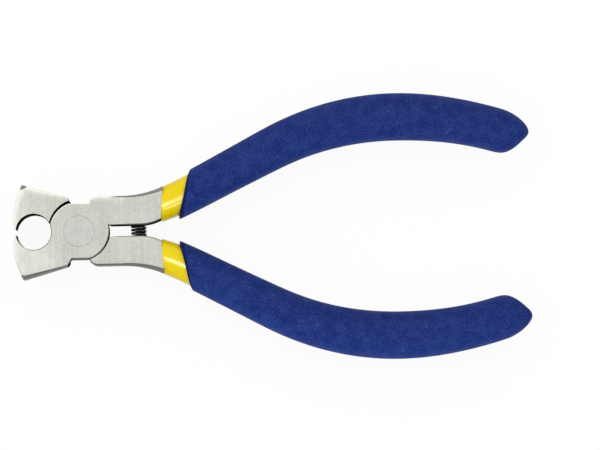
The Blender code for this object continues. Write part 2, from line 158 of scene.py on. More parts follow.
class Scribe:
    """Scribes an outline stretch by stretch, and notes how widely each stretch's edge is to be broken."""

    def __init__(self, x, y):
        self.bm = bmesh.new()
        self.breaks = self.bm.edges.layers.float.new("bevel_weight_edge")
        self.tip = self.bm.verts.new((x, y, 0))

    def line(self, x, y, width, end_width=None):
        steps = 1 if end_width is None else TAPER_STEPS
        step = (Vector((x, y, 0)) - self.tip.co) / steps
        for number in range(steps):
            self.tip = bmesh.ops.extrude_vert_indiv(self.bm, verts=[self.tip])["verts"][0]
            bmesh.ops.translate(self.bm, verts=[self.tip], vec=step)
            self.note_break((number + 0.5) / steps, width, end_width)

    def arc(self, x, y, radius, width, end_width=None):
        """An arc of under half a circle, to the left for a positive radius and else to the right."""
        end = Vector((x, y))
        centre = arc_centre(self.tip.co.xy, end, radius)
        angle = 2 * math.asin((end - self.tip.co.xy).length / (2 * radius))
        steps = math.ceil(abs(angle) / ARC_STEP)
        for number in range(steps):
            self.tip = bmesh.ops.spin(self.bm, geom=[self.tip], cent=centre.to_3d(), axis=(0, 0, 1),
                                      angle=angle / steps, steps=1)["geom_last"][0]
            self.note_break((number + 0.5) / steps, width, end_width)

    def note_break(self, share, width, end_width):
        """Notes the newest edge's break, at a share of the way along its stretch."""
        change = 0.0 if end_width is None else end_width - width
        self.tip.link_edges[0][self.breaks] = (width + change * share) / WIDEST_BREAK

    def plate(self):
        """The outline closed, filled, raised to the head's thickness and broken along its edges."""
        bm = self.bm
        bmesh.ops.remove_doubles(bm, verts=bm.verts, dist=MERGE_DISTANCE)
        face = bmesh.ops.contextual_create(bm, geom=bm.edges)["faces"][0]
        half = HALF_THICKNESS * BREAK_SLOPE
        bmesh.ops.translate(bm, verts=bm.verts, vec=(0, 0, -half))
        raised = bmesh.ops.extrude_face_region(bm, geom=[face])["geom"]
        top = [item for item in raised if isinstance(item, bmesh.types.BMVert)]
        bmesh.ops.translate(bm, verts=top, vec=(0, 0, 2 * half))
        body = bench_object(finished(bm))
        broken = body.modifiers.new("noted edges", "BEVEL")
        broken.limit_method = "WEIGHT"
        broken.width = WIDEST_BREAK
        broken.use_clamp_overlap = False
        broken.profile_type = "CUSTOM"
        run, fall = BREAK_LIP
        broken.custom_profile.points.add(1 - fall, run)
        broken.custom_profile.points.add(run, 1 - fall)
        broken.custom_profile.update()
        broken.segments = len(broken.custom_profile.points) - 1
        mesh = off_the_bench([body])
        mesh.transform(Matrix.Diagonal((1, 1, 1 / BREAK_SLOPE, 1)))
        return mesh


def bench_object(mesh):
    """A short-lived object for work with modifiers."""
    body = bpy.data.objects.new("on the bench", mesh)
    bpy.context.collection.objects.link(body)
    return body


def off_the_bench(bodies):
    """The mesh that the first body's modifiers make of it; the bodies themselves are cleared away."""
    graph = bpy.context.evaluated_depsgraph_get()
    result = bpy.data.meshes.new_from_object(bodies[0].evaluated_get(graph))
    for body in bodies:
        bpy.data.objects.remove(body)
    return result


def finished(bm):
    """The bmesh as a mesh, merged, with its faces turned outwards and smooth shading."""
    bmesh.ops.remove_doubles(bm, verts=bm.verts, dist=MERGE_DISTANCE)
    bmesh.ops.recalc_face_normals(bm, faces=bm.faces)
    mesh = bpy.data.meshes.new("shape")
    bm.to_mesh(mesh)
    bm.free()
    mesh.shade_smooth()
    return mesh


def turned(profile):
    """A body spun about Z from a profile of radii and heights that starts and ends on the axis."""
    bm = bmesh.new()
    tip = bm.verts.new((profile[0][0], 0, profile[0][1]))
    for radius, height in profile[1:]:
        tip = bmesh.ops.extrude_vert_indiv(bm, verts=[tip])["verts"][0]
        tip.co = (radius, 0, height)
    bmesh.ops.spin(bm, geom=bm.verts[:] + bm.edges[:], axis=(0, 0, 1), cent=(0, 0, 0), angle=2 * math.pi,
                   steps=TURN_STEPS, use_merge=True)
    return finished(bm)


def countersunk(seam, past):
    """Half section of the rivet, or of its hole when it has a seam and runs past both faces."""
    upper = [
        (0, HALF_THICKNESS + past),
        (RIVET_HEAD_RADIUS + seam, HALF_THICKNESS + past),
        (RIVET_HEAD_RADIUS + seam, HALF_THICKNESS - RIM_BREAK),
        (RIVET_RADIUS + seam, HALF_THICKNESS - RIVET_HEAD_DEPTH),
    ]
    return upper + [(radius, -height) for radius, height in reversed(upper)]


def on_handle(distance, side):
    """Point beside the handle's path; the side is positive away from the other handle."""
    point, heading = Vector((0.0, ARM_AXIS_Y)), 0.0
    for length, curvature in PATH_RUNS:
        step = min(length, distance)
        turn = curvature * step
        chord = step if turn == 0 else 2 * math.sin(turn / 2) / curvature
        point = point + chord * Vector((math.cos(heading + turn / 2), math.sin(heading + turn / 2)))
        heading += turn
        distance -= step
        if distance <= 0:
            break
    return point + side * Vector((-math.sin(heading), math.cos(heading)))


def along_handle(rings, squareness, lean, drop):
    """A closed body of squared rings, each a distance, a half width and a half height, bent to the handle.

    The lean, by distance and side, moves a point along the handle. The drop, by distance, sinks it inwards.
    """
    bm = bmesh.new()
    ring = bmesh.ops.create_circle(bm, radius=1, segments=RING_SIDES)["verts"]
    bmesh.ops.rotate(bm, verts=ring, cent=(0, 0, 0), matrix=Matrix.Rotation(math.pi / 2, 3, "Y"))
    for vert in ring:
        vert.co.yz = [math.copysign(abs(value) ** (2 / squareness), value) for value in vert.co.yz]
    edges = bm.edges[:]
    before = (0.0, 1.0, 1.0)
    for number, now in enumerate(rings):
        if number:
            made = bmesh.ops.extrude_edge_only(bm, edges=edges)["geom"]
            ring = [item for item in made if isinstance(item, bmesh.types.BMVert)]
            edges = [item for item in made if isinstance(item, bmesh.types.BMEdge)]
        bmesh.ops.scale(bm, verts=ring, vec=(1, now[1] / before[1], now[2] / before[2]))
        bmesh.ops.translate(bm, verts=ring, vec=(now[0] - before[0], 0, 0))
        before = now
    bmesh.ops.holes_fill(bm, edges=bm.edges)
    for vert in bm.verts:
        distance, side, height = vert.co
        point = on_handle(distance + lean(distance, side), side - drop(distance))
        vert.co = (*point, height)
    return finished(bm)


def spaced(start, end):
    """Distances from start to end, both included, about a ring's step apart."""
    count = math.ceil(abs(end - start) / RING_STEP)
    return [start + (end - start) * i / count for i in range(count + 1)]


def upright(distance, side=0.0):
    """No lean, or no drop."""
    return 0.0


def machined(mesh, steps):
    """The mesh after a row of Boolean steps, each an operation and a mesh."""
    bodies = [bench_object(mesh)]
    for operation, other in steps:
        bodies.append(bench_object(other))
        cut = bodies[0].modifiers.new(operation, "BOOLEAN")
        cut.operation = operation
        cut.object = bodies[-1]
    return off_the_bench(bodies)


def lever_outline():
    scribe = Scribe(WAIST_X, WAIST_Y)
    scribe.line(-WAIST_X, WAIST_Y, WAIST_BREAK)
    scribe.arc(*THROAT_MEETS_DISC, JOINT_RADIUS, WAIST_BREAK, RIM_BREAK)
    scribe.arc(THROAT_X, -THROAT_RADIUS, -THROAT_RADIUS, RIM_BREAK)
    scribe.arc(*CUTTING_EDGE, -THROAT_RADIUS, RIM_BREAK, NO_BREAK)
    scribe.line(*EDGE_BEVEL_END, NO_BREAK, INNER_BREAK)
    scribe.arc(*JAW_CORNER, JAW_FRONT_RADIUS, INNER_BREAK, JAW_BREAK)
    scribe.line(*JAW_BACK, JAW_BREAK, WAIST_BREAK)
    scribe.line(*JAW_ROOT, WAIST_BREAK)
    scribe.line(WAIST_X, -WAIST_Y, ROOT_BREAK)
    scribe.arc(ARM_START_X, ARM_INNER_Y, JOINT_RADIUS, ROOT_BREAK, RIM_BREAK)
    scribe.line(INNER_BEND_START, ARM_INNER_Y, RIM_BREAK, INNER_BREAK)
    scribe.arc(*ARM_END_INNER, ARM_INNER_RADIUS, INNER_BREAK)
    scribe.line(*ARM_END_OUTER, NO_BREAK)
    scribe.arc(OUTER_BEND_START, ARM_OUTER_Y, -ARM_OUTER_RADIUS, WIDEST_BREAK, OUTER_BREAK)
    scribe.line(SHOULDER_TOP_X, ARM_OUTER_Y, OUTER_BREAK)
    scribe.arc(*SHOULDER_SIDE, SHOULDER_RADIUS, OUTER_BREAK)
    scribe.line(WAIST_X, WAIST_Y, OUTER_BREAK, WAIST_BREAK)
    return scribe.plate()


def lever_mesh():
    lap_end = -HALF_THICKNESS - CUT_OVERSHOOT
    lap = turned([(0, LAP_HEIGHT), (POCKET_RADIUS, LAP_HEIGHT), (POCKET_RADIUS, lap_end), (0, lap_end)])
    lap.transform(Matrix.Translation((*POCKET_SHIFT, 0)))
    spring_pocket = turned([
        (0, SPRING_POCKET_Y),
        (SPRING_POCKET_RADIUS, SPRING_POCKET_Y),
        (SPRING_POCKET_RADIUS, 0),
        (0, 0),
    ])
    spring_pocket.transform(Matrix.Translation((SPRING_X, 0, 0)) @ Matrix.Rotation(-math.pi / 2, 4, "X"))
    tang_rings = [(s, TANG_HALF_WIDTH, TANG_HALF_HEIGHT) for s in spaced(TANG_START, TANG_END)]
    return machined(lever_outline(), [
        ("UNION", along_handle(tang_rings, TANG_SQUARENESS, upright, upright)),
        ("DIFFERENCE", lap),
        ("DIFFERENCE", turned(countersunk(RIVET_SEAM, CUT_OVERSHOOT))),
        ("DIFFERENCE", spring_pocket),
    ])


GROUND, BROKEN, FORGED, RECESS = range(4)  # the lever's finishes, in the order of its materials
FLAT_SLOPE = 0.99  # upward share of a normal from which a face counts as flat
EDGE_SLOPE = 0.9  # and from which it still belongs to the ground face's rounded edge
WALL_SLOPE = 0.3  # and below which it counts as a wall
BREAK_UPWARD = BREAK_SLOPE / math.hypot(1, BREAK_SLOPE)  # the same share of a broken edge
SLOPE_MARGIN = 0.06
LAP_REACH = HALF_THICKNESS / 2
JOINT_REACH = 0.0076
THROAT_REACH = THROAT_RADIUS + 2 * RIM_BREAK


def sort_finishes(mesh):
    """Gives each face of the lever its finish, by how it faces and what it faces."""
    mesh.shade_smooth()
    mesh.set_sharp_from_angle(angle=SMOOTH_ANGLE)
    throat = Vector((THROAT_X, 0))
    for face in mesh.polygons:
        upward = abs(face.normal.z)
        place = face.center.xy
        sideways = abs(face.normal.y) > abs(face.normal.x)
        outward = sideways and face.normal.y * place.y > 0
        inward = sideways and not outward and place.x > 0
        face.use_smooth = upward < FLAT_SLOPE and abs(upward - BREAK_UPWARD) > SLOPE_MARGIN
        # RECESS, near black, goes on the faces between the discs, the throat and the inner walls: dark oil
        # and painted shade.
        if abs(face.center.z) < LAP_REACH and upward > EDGE_SLOPE:
            face.material_index = RECESS
        elif upward > EDGE_SLOPE:
            face.material_index = GROUND
        elif place.x < CUTTING_EDGE[0] and abs(place.y) < abs(EDGE_BEVEL_END[1]):
            face.material_index = GROUND
        elif (place - throat).length < THROAT_REACH:
            face.material_index = RECESS
        elif upward > WALL_SLOPE:
            face.material_index = BROKEN
        elif inward or (place.length < JOINT_REACH and not outward):
            face.material_index = RECESS
        else:
            face.material_index = FORGED


MIX_A, MIX_B, MIX_RESULT = 6, 7, 2  # a Mix node's colour sockets


class Signal:
    """An output socket of a node tree. Its operators add Math nodes, and node() adds any other node."""

    def __init__(self, socket):
        self.socket = socket

    def node(self, kind, settings, sockets, output=0):
        """A new node with its settings, then its sockets' values and links; returns one of its outputs."""
        tree = self.socket.id_data
        made = tree.nodes.new(kind)
        for name, value in settings.items():
            setattr(made, name, value)
        for key, value in sockets.items():
            if isinstance(value, Signal):
                tree.links.new(value.socket, made.inputs[key])
            else:
                made.inputs[key].default_value = value
        return Signal(made.outputs[output])

    def maths(self, operation, first, second):
        return self.node("ShaderNodeMath", {"operation": operation}, {0: first, 1: second})

    def __add__(self, other):
        return self.maths("ADD", self, other)

    def __sub__(self, other):
        return self.maths("SUBTRACT", self, other)

    def __rsub__(self, other):
        return self.maths("SUBTRACT", other, self)

    def __mul__(self, other):
        return self.maths("MULTIPLY", self, other)

    __radd__ = __add__
    __rmul__ = __mul__


def noise(place, scale, detail=3.0):
    return place.node("ShaderNodeTexNoise", {}, {"Vector": place, "Scale": scale, "Detail": detail})


def stretched(place, scales):
    return place.node("ShaderNodeMapping", {}, {"Vector": place, "Scale": scales})


def axis(place, name):
    return place.node("ShaderNodeSeparateXYZ", {}, {"Vector": place}, name)


def larger(first, second):
    return first.maths("MAXIMUM", first, second)


def rising(value, low, high):
    """A smooth step of the value, 0 below low and 1 above high."""
    return value.node("ShaderNodeMapRange", {"interpolation_type": "SMOOTHSTEP"},
                      {"Value": value, "From Min": low, "From Max": high})


def between(share, first, second):
    """A colour between two, by a share."""
    colours = {"Factor": share, MIX_A: first, MIX_B: second}
    return share.node("ShaderNodeMix", {"data_type": "RGBA"}, colours, MIX_RESULT)


def ranged(share, low, high):
    """A value between two, by a share."""
    return low + (high - low) * share


def bumps(height, depth):
    return height.node("ShaderNodeBump", {}, {"Height": height, "Distance": depth}, "Normal")


def finish(name, constants, varying):
    """A material with constant sockets, and sockets fed by a function of the place on the piece."""
    material = bpy.data.materials.new(name)
    material.use_nodes = True
    shader = material.node_tree.nodes["Principled BSDF"]
    for socket, value in constants.items():
        shader.inputs[socket].default_value = value
    place = Signal(material.node_tree.nodes.new("ShaderNodeTexCoord").outputs["Object"])
    for socket, signal in varying(place).items():
        material.node_tree.links.new(signal.socket, shader.inputs[socket])
    return material


STEEL_BRIGHT = (0.67, 0.675, 0.615, 1)
STEEL_DULL = (0.54, 0.545, 0.49, 1)
# The jaws' tones are lighter than the steel behind them: painted light, strongest on the lower jaw.
JAW_BRIGHT = (0.80, 0.81, 0.735, 1)
JAW_DULL = (0.66, 0.67, 0.605, 1)
FORGED_LIGHT = (0.24, 0.24, 0.215, 1)
FORGED_DARK = (0.14, 0.14, 0.125, 1)
# Near black for the recesses: dark oil, and painted shade in the throat, the joint's gaps and between the
# arms.
RECESS_LIGHT = (0.035, 0.034, 0.032, 1)
RECESS_DARK = (0.010, 0.010, 0.010, 1)
GRIND_ACROSS = (4200.0, 90.0, 4200.0)  # stretch of the grinding marks, which run across the tool
GRIND_BANDS = (1100.0, 45.0, 1100.0)
GRIND_DETAIL = 2.0
GRIND_DEPTH = 0.000003
GRAIN_SCALE = 1500.0
CLOUD_SCALE = 180.0
MARKS_SHARE, BANDS_SHARE, GRAIN_SHARE, CLOUD_SHARE = 0.2, 0.2, 0.35, 0.25  # in the ground faces' wear
MIDDLE = (0.35, 0.65)  # part of a noise's range that makes the whole change
GROUND_ROUGHNESS = (0.28, 0.40)
EDGE_PITS_SCALE = 2200.0
EDGE_ROUGHNESS = 0.26
EDGE_SKIN_ROUGHER = 0.22
EDGE_PITS_ROUGHER = 0.08
FORGED_PITS_SCALE = 3600.0
FORGED_PATCH_SCALE = 900.0
PITS_SHARE = 0.6  # in the forged skin's tone, the rest being its patches'
FORGED_ROUGHNESS = (0.45, 0.65)
FORGED_METAL = 0.4
FORGED_DEPTH = 0.00003
OIL_SCALE = 700.0
OIL_RANGE = (0.4, 0.7)
OIL_ROUGHNESS = (0.5, 0.8)
OIL_AND_SHADE_REACH = (0.0067, 0.0078)  # round the pivot, where the skin is darkened by oil and by painted shade
FORGED_ARM = (0.0065, 0.009)  # along the arm, where its edges' forged skin sets in and is full
JAW_LIGHT_FULL = 0.012  # ahead of the pivot, from where the jaws get the full painted light
JAW_LIGHT_END = 0.0055  # and where the painted light has given way
JAW_LIGHT_LEAN = 0.5  # how much more painted light the lower jaw gets than the upper
DARK_EDGE_SOFT = 0.0002  # softness of the painted shade that darkens the broken edges of the tool's lower side like forged skin
CORNER_SKIN = (0.0009, 0.0012)  # reach of the skin left on the jaws' corners
WAIST_SIDE = (WAIST_Y - 2 * ROOT_BREAK, WAIST_Y - ROOT_BREAK)  # from the axis, where its side starts
EASE_WIDTH = 0.0012  # of the band along the ground faces' outer edges
EASE_DEPTH = 0.00016
IN_METRES = 1.0  # bump distance of heights that are in metres
JAW_END = -0.002  # jaws in front of this, arms behind
JAW_END_SOFT = 0.001
ARM_EASE = (SHOULDER_TOP_X, OUTER_BEND_START)  # where the arm's outer edge is eased
ARM_EASE_SOFT = 0.002


def broken_back(point, outward, width):
    """A point of the outline moved in by the width of its broken edge."""
    return Vector(point) - outward.normalized() * width


def as_drawn(place):
    """The place along and across a half as its outline has them, the jaw below the axis, for either half."""
    along = axis(place, "X") - PIVOT.x
    across = axis(place, "Y")
    return along, 0 - across.maths("ABSOLUTE", across, 0.0)


def in_front(along):
    """1 on the jaws and 0 behind them."""
    return 1 - rising(along, JAW_END - JAW_END_SOFT, JAW_END)


def inside_jaw_side(along, across):
    """Distance inside the line where the ground face meets the broken edge along the jaw's side."""
    away = -(Vector(JAW_BACK) - Vector(JAW_CORNER)).orthogonal()
    start = broken_back(JAW_CORNER, away, JAW_BREAK)
    end = broken_back(JAW_BACK, away, WAIST_BREAK)
    away = -(end - start).orthogonal().normalized()
    return away.dot(end) - along * away.x - across * away.y


def inside_jaw_front(along, across):
    """The same along the jaw's round front."""
    corner, tip = Vector(JAW_CORNER), Vector(EDGE_BEVEL_END)
    middle = arc_centre(tip, corner, JAW_FRONT_RADIUS)
    centre = arc_centre(broken_back(tip, tip - middle, INNER_BREAK),
                        broken_back(corner, corner - middle, JAW_BREAK), JAW_FRONT_RADIUS)
    run, rise = along - centre.x, across - centre.y
    reach = run * run + rise * rise
    return JAW_FRONT_RADIUS - reach.maths("SQRT", reach, 0.0)


def eased_from(inside):
    """The fall from an edge: 1 on it, 0 from the ease's width inwards."""
    share = inside.node("ShaderNodeMath", {"operation": "SUBTRACT", "use_clamp": True},
                        {0: 1.0, 1: inside * (1 / EASE_WIDTH)})
    return share * share


def eased_edges(place):
    """1 along the ground faces' outer edges, where grinding has eased them over, falling to 0 inside."""
    along, across = as_drawn(place)
    front = eased_from(inside_jaw_front(along, across))
    side = eased_from(inside_jaw_side(along, across))
    arm = rising(along, ARM_EASE[0] - ARM_EASE_SOFT, ARM_EASE[0]) * (
        1 - rising(along, ARM_EASE[1], ARM_EASE[1] + ARM_EASE_SOFT))
    outer = eased_from(ARM_OUTER_Y - OUTER_BREAK + across)
    return larger(front, side) * in_front(along) + outer * arm


def ground(place):
    marks = noise(stretched(place, GRIND_ACROSS), 1.0, GRIND_DETAIL)
    bands = noise(stretched(place, GRIND_BANDS), 1.0)
    grain = noise(place, GRAIN_SCALE)
    cloud = noise(place, CLOUD_SCALE)
    wear = marks * MARKS_SHARE + bands * BANDS_SHARE + grain * GRAIN_SHARE + cloud * CLOUD_SHARE
    # The jaws are drawn lighter than the steel behind them, the lower jaw most: painted light.
    leaning = axis(place, "X") + axis(place, "Y") * JAW_LIGHT_LEAN
    back = rising(leaning, PIVOT.x - JAW_LIGHT_FULL, PIVOT.x - JAW_LIGHT_END)
    dull = between(back, JAW_DULL, STEEL_DULL)
    bright = between(back, JAW_BRIGHT, STEEL_BRIGHT)
    return {
        "Base Color": between(rising(wear, *MIDDLE), dull, bright),
        "Roughness": ranged(marks, *GROUND_ROUGHNESS),
        "Normal": bumps(marks * GRIND_DEPTH - eased_edges(place) * EASE_DEPTH, IN_METRES),
    }


def broken(place):
    along, across = as_drawn(place)
    jaw = in_front(along)
    jaw_side = jaw * (1 - rising(inside_jaw_side(along, across), 0.0, DARK_EDGE_SOFT))
    waist_side = (1 - jaw) * rising(0 - across, *WAIST_SIDE)
    # The broken edges on the tool's lower side, towards the front, darken like forged skin: painted shade.
    painted_front_shade = (jaw_side + waist_side) * (1 - rising(axis(place, "Y"), -DARK_EDGE_SOFT, DARK_EDGE_SOFT))
    run, rise = along - JAW_CORNER[0], across - JAW_CORNER[1]
    corner = 1 - rising(run * run + rise * rise, CORNER_SKIN[0] ** 2, CORNER_SKIN[1] ** 2)
    bent = rising(along, *FORGED_ARM)
    # skin joins the forged skin of the arms and the jaw corners with that painted shade.
    skin = larger(bent, larger(painted_front_shade, corner))
    pits = noise(place, EDGE_PITS_SCALE)
    forged_tone = between(pits, FORGED_DARK, FORGED_LIGHT)
    return {
        "Base Color": between(skin, STEEL_BRIGHT, forged_tone),
        "Metallic": ranged(skin, 1.0, FORGED_METAL),
        "Roughness": EDGE_ROUGHNESS + EDGE_SKIN_ROUGHER * skin + EDGE_PITS_ROUGHER * pits,
        "Normal": bumps(pits * skin, FORGED_DEPTH),
    }


def forged(place):
    pits = noise(place, FORGED_PITS_SCALE)
    patches = noise(place, FORGED_PATCH_SCALE)
    along, across = as_drawn(place)
    reach = along * along + across * across
    # Round the pivot the skin darkens to the recess tone: oil and painted shade.
    oil_and_shade = 1 - rising(reach, OIL_AND_SHADE_REACH[0] ** 2, OIL_AND_SHADE_REACH[1] ** 2)
    tone = pits * PITS_SHARE + patches * (1 - PITS_SHARE)
    skin = between(rising(tone, *MIDDLE), FORGED_DARK, FORGED_LIGHT)
    return {
        "Base Color": between(oil_and_shade, skin, RECESS_LIGHT),
        "Roughness": ranged(patches, *FORGED_ROUGHNESS),
        "Normal": bumps(pits, FORGED_DEPTH),
    }


# Dark oil and painted shade for the joint's gaps, the throat and the arms' inner walls.
def recess(place):
    oil_and_shade = noise(place, OIL_SCALE)
    return {
        "Base Color": between(rising(oil_and_shade, *OIL_RANGE), RECESS_DARK, RECESS_LIGHT),
        "Roughness": ranged(oil_and_shade, *OIL_ROUGHNESS),
        "Normal": bumps(oil_and_shade, FORGED_DEPTH),
    }


def set_down(name, mesh, turn, materials):
    """The piece's object, with its mesh turned over where asked and set down at the joint."""
    mesh.transform(Matrix.Translation(PIVOT) @ Matrix.Rotation(turn, 4, "X"))
    for material in materials:
        mesh.materials.append(material)
    piece = bpy.data.objects.new(name, mesh)
    bpy.context.collection.objects.link(piece)
    return piece


lever = lever_mesh()
sort_finishes(lever)
steel_finishes = [
    finish("ground steel", {"Metallic": 1.0}, ground),
    finish("broken steel edges", {}, broken),
    finish("forged steel skin with painted shade at the joint", {"Metallic": FORGED_METAL}, forged),
    finish("dark oil and painted shade in recesses", {"Specular IOR Level": 0.0}, recess),
]
for side, turn in HALVES.items():
    piece = set_down(f"{side}_lever_forging", lever.copy(), turn, steel_finishes)
    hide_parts(f"{side}_lever")
    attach(piece, f"{side}_half")


# Rivet
# A turned steel pin through both discs. Its countersunk heads are upset cold and then ground flush with
# the joint's faces, so that only a hairline shows round each head.

RIVET_BRIGHT = (0.63, 0.635, 0.595, 1)
RIVET_DULL = (0.57, 0.575, 0.53, 1)
RIVET_CLOUD_SCALE = 900.0
RIVET_CLOUD_SHARE = 0.6  # in the head's wear, the rest being its marks'
RIVET_ROUGHNESS = (0.3, 0.42)


def rivet_face(place):
    marks = noise(stretched(place, GRIND_ACROSS), 1.0, GRIND_DETAIL)
    cloud = noise(place, RIVET_CLOUD_SCALE)
    wear = cloud * RIVET_CLOUD_SHARE + marks * (1 - RIVET_CLOUD_SHARE)
    return {
        "Base Color": between(rising(wear, *MIDDLE), RIVET_DULL, RIVET_BRIGHT),
        "Roughness": ranged(marks, *RIVET_ROUGHNESS),
        "Normal": bumps(marks, GRIND_DEPTH),
    }


rivet_mesh = turned(countersunk(0.0, 0.0))
rivet_mesh.set_sharp_from_angle(angle=SMOOTH_ANGLE)
rivet_finish = finish("rivet steel", {"Metallic": 1.0}, rivet_face)
rivet = set_down("pivot_rivet_pin", rivet_mesh, 0.0, [rivet_finish])
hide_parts("pivot_rivet")
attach(rivet, "upper_half")


# Return spring
# A coil of blackened spring wire between the arms, with one close curl at each end. Each end sits in a
# round pocket in its arm's inner face.

WIRE_RADIUS = 0.00028
WIRE_SIDES = 10
SPRING_RADIUS = 0.00177
COIL_RADIUS = SPRING_RADIUS - WIRE_RADIUS
SPRING_END_Y = 0.0032
CLOSE_PITCH = 0.00058
OPEN_PITCH = 0.00072
CURL_STEPS = 28
WIRE_LIGHT = (0.24, 0.23, 0.21, 1)
WIRE_DARK = (0.02, 0.02, 0.02, 1)
WIRE_PITS = 0.000008
WIRE_SCALE = 2600.0
WIRE_RANGE = (0.35, 0.75)
WIRE_ROUGHNESS = (0.3, 0.5)
WIRE_METAL = 0.9


def coil_mesh():
    """The wire's round section spun up the Y axis: a close curl, the open curls and a close curl."""
    bm = bmesh.new()
    bmesh.ops.create_circle(bm, radius=WIRE_RADIUS, segments=WIRE_SIDES)
    first = -SPRING_END_Y + WIRE_RADIUS
    bmesh.ops.translate(bm, verts=bm.verts, vec=(SPRING_X + COIL_RADIUS, first, 0))
    open_turns = (2 * (SPRING_END_Y - WIRE_RADIUS) - 2 * CLOSE_PITCH) / OPEN_PITCH
    section = bm.verts[:] + bm.edges[:]
    for pitch, turns in ((CLOSE_PITCH, 1.0), (OPEN_PITCH, open_turns), (CLOSE_PITCH, 1.0)):
        steps = round(turns * CURL_STEPS)
        section = bmesh.ops.spin(bm, geom=section, cent=(SPRING_X, 0, 0), axis=(0, 1, 0),
                                 dvec=(0, pitch * turns / steps, 0), angle=-2 * math.pi * turns,
                                 steps=steps)["geom_last"]
    bmesh.ops.holes_fill(bm, edges=bm.edges)
    return finished(bm)


def wire(place):
    drawn = noise(place, WIRE_SCALE)
    return {
        "Base Color": between(rising(drawn, *WIRE_RANGE), WIRE_DARK, WIRE_LIGHT),
        "Roughness": ranged(drawn, *WIRE_ROUGHNESS),
        "Normal": bumps(drawn, WIRE_PITS),
    }


wire_finish = finish("blackened wire", {"Metallic": WIRE_METAL}, wire)
spring = set_down("return_spring_coil", coil_mesh(), 0.0, [wire_finish])
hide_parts("return_spring")
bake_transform(spring)


# Inner sleeves
# The first coat on each tang: hard glossy yellow PVC, dipped, with a rounded rim cut on the slant against
# the arm's end. The outer grip leaves a short length of it bare.

SLEEVE_FRONT = 0.01845
SLEEVE_SQUARENESS = 2.7
SLEEVE_SLANT = math.radians(19.4)
SLEEVE_HALF_WIDTH = 0.0038
SLEEVE_HALF_HEIGHT = 0.00415
SLEEVE_WALL = 0.00075
BORE_CLEARANCE = 0.00025
SLEEVE_BORE_END = TANG_END + BORE_CLEARANCE
SLEEVE_END = SLEEVE_BORE_END + SLEEVE_WALL
SLANT_FADE = 0.010
CORNER_EASE = 0.16  # how far a slanted rim's corners draw back, as a share of its slant
CORNER_SHARPNESS = 6  # how near to the corners that stays
RIM_STEPS = 6
RIM_FLATNESS = 0.5  # 1 rounds a rim over in a half circle, less leaves its front flatter
SMOOTHING = 2
YELLOW = (0.58, 0.45, 0.0, 1)
YELLOW_DEEP = (0.56, 0.42, 0.0, 1)
YELLOW_GLOSS = (1.0, 0.96, 0.75, 1)
DIP_WAVES = 0.000006
DIP_WAVE_SCALE = 350.0
DIP_WAVE_DETAIL = 1.0
DIP_DEPTH_SCALE = 120.0
DIP_DEPTH_RANGE = (0.35, 0.7)
DIP_ROUGHNESS = (0.16, 0.20)
DIP_SHINE = 0.25


def slanted(slant, start, half_width):
    """The lean of a rim cut on the slant, with eased corners, which gives way to square rings behind it."""
    def lean(distance, side):
        fading = slant * max(0.0, 1 - (distance - start) / SLANT_FADE)
        ease = CORNER_EASE * half_width * (side / half_width) ** CORNER_SHARPNESS
        return math.tan(fading) * (side + ease)
    return lean


def rolled_rim(front, inner, outer):
    """Rings that round a tube's end over from its bore's half sizes to its outside's."""
    rings = []
    for step in range(RIM_STEPS + 1):
        angle = math.pi * step / RIM_STEPS
        across, along = math.cos(angle), math.sin(angle)
        share = (1 - math.copysign(abs(across) ** RIM_FLATNESS, across)) / 2
        width, height = (a + (b - a) * share for a, b in zip(inner, outer))
        set_back = (outer[0] - inner[0]) / 2 * (1 - abs(along) ** RIM_FLATNESS)
        rings.append((front + set_back, width, height))
    return rings


def smoothed(piece):
    """The piece with a subdivision surface to finish its round forms."""
    surface = piece.modifiers.new("round forms", "SUBSURF")
    surface.levels = SMOOTHING
    surface.render_levels = SMOOTHING
    return piece


def sleeve_mesh():
    outer = (SLEEVE_HALF_WIDTH, SLEEVE_HALF_HEIGHT)
    bore = tuple(half - SLEEVE_WALL for half in outer)
    rim = rolled_rim(SLEEVE_FRONT, bore, outer)
    inside = [(s, *bore) for s in spaced(SLEEVE_BORE_END, SLEEVE_FRONT + RING_STEP)]
    outside = [(s, *outer) for s in spaced(SLEEVE_FRONT + RING_STEP, SLEEVE_END)]
    lean = slanted(SLEEVE_SLANT, SLEEVE_FRONT, SLEEVE_HALF_WIDTH)
    return along_handle(inside + rim + outside, SLEEVE_SQUARENESS, lean, upright)


def yellow_dip(place):
    waves = noise(place, DIP_WAVE_SCALE, DIP_WAVE_DETAIL)
    depth = noise(place, DIP_DEPTH_SCALE)
    return {
        "Base Color": between(rising(depth, *DIP_DEPTH_RANGE), YELLOW, YELLOW_DEEP),
        "Roughness": ranged(waves, *DIP_ROUGHNESS),
        "Normal": bumps(waves, DIP_WAVES),
    }


sleeves = bpy.data.collections.new("sleeves")  # lit by lamps of their own
sleeve = sleeve_mesh()
sleeve_gloss = {"Specular IOR Level": DIP_SHINE, "Specular Tint": YELLOW_GLOSS}
sleeve_finish = finish("glossy yellow dip", sleeve_gloss, yellow_dip)
for side, turn in HALVES.items():
    piece = smoothed(set_down(f"{side}_sleeve_dip", sleeve.copy(), turn, [sleeve_finish]))
    sleeves.objects.link(piece)
    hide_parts(f"{side}_inner_sleeve")
    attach(piece, f"{side}_half")


# Outer grips
# The second coat: thick matte blue foamed PVC over the sleeve, with a thin lip on a steeper slant. It is
# fullest over the crown and closed at the tail, where the end leans and rounds off. Its lip is painted dark
# as shade.

